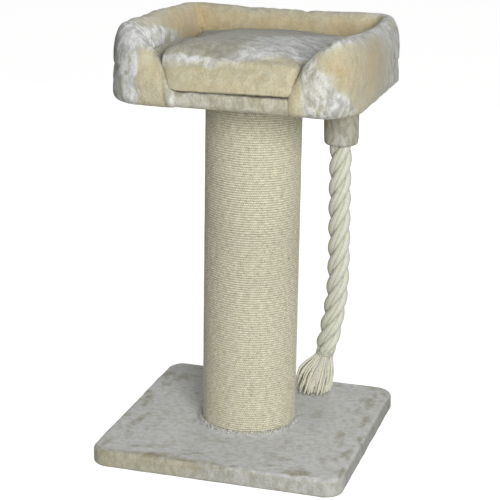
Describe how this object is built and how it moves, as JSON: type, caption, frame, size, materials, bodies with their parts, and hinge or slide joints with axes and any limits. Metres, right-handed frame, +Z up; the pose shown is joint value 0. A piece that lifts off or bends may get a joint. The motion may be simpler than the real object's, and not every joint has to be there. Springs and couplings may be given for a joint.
{
  "type": "cat tree",
  "caption": "Free-standing cat tree: plush base, thick sisal-wound scratching post, walled bed with a loose cushion, and a rope toy with a tassel.",
  "frame": {"origin": "middle of the base's underside, on the floor", "axes": "+Z up along the post, +Y towards the back of the bed, so the bed's front opening faces -Y and the rope toy hangs at +X +Y"},
  "size_m": [0.533, 0.533, 0.902],
  "materials": {
    "plush": "short-pile plush, cream with a silvery nap",
    "sisal": "wound sisal rope, natural",
    "cotton_rope": "three-strand twisted cotton, natural",
    "foam": "soft foam and fibre filling",
    "chipboard": "raw pressed board",
    "hardboard": "thin bent hardboard",
    "tube_card": "wound card tube",
    "zinc_steel": "zinc-plated steel"
  },
  "bodies": {
    "stand": {"base_board": "chipboard", "base_plush": "plush", "base_bolts": "zinc_steel", "base_washers": "zinc_steel", "post_tube": "tube_card", "post_lower_plug": "chipboard", "post_upper_plug": "chipboard", "lower_tee_nuts": "zinc_steel", "upper_tee_nuts": "zinc_steel", "sisal_sleeve": "sisal", "sisal_end_turns": "sisal", "bed_board": "chipboard", "bed_board_plush": "plush", "bed_bolts": "zinc_steel", "bed_washers": "zinc_steel", "bolster_strip": "hardboard", "bolster_foam": "foam", "bolster_plush": "plush", "bolster_screws": "zinc_steel", "cuff_tube": "tube_card", "cuff_plush": "plush", "cuff_plug": "chipboard", "cuff_screws": "zinc_steel", "rope_stub": "cotton_rope"},
    "cushion": {"cushion_cover": "plush", "cushion_filling": "foam"},
    "rope": {"toy_rope": "cotton_rope", "rope_whipping": "cotton_rope", "rope_tassel": "cotton_rope"}
  },
  "joints": [
    {"name": "cushion_lift", "type": "slide", "parent": "stand", "child": "cushion", "axis": [0, 0, 1], "range_m": [0, 0.15]},
    {"name": "rope_swing", "type": "hinge", "parent": "stand", "child": "rope", "pos_m": [0.141, 0.19, 0.59707], "axis": [0.5959, 0.803, 0], "range_deg": [-40, 40]}
  ]
}
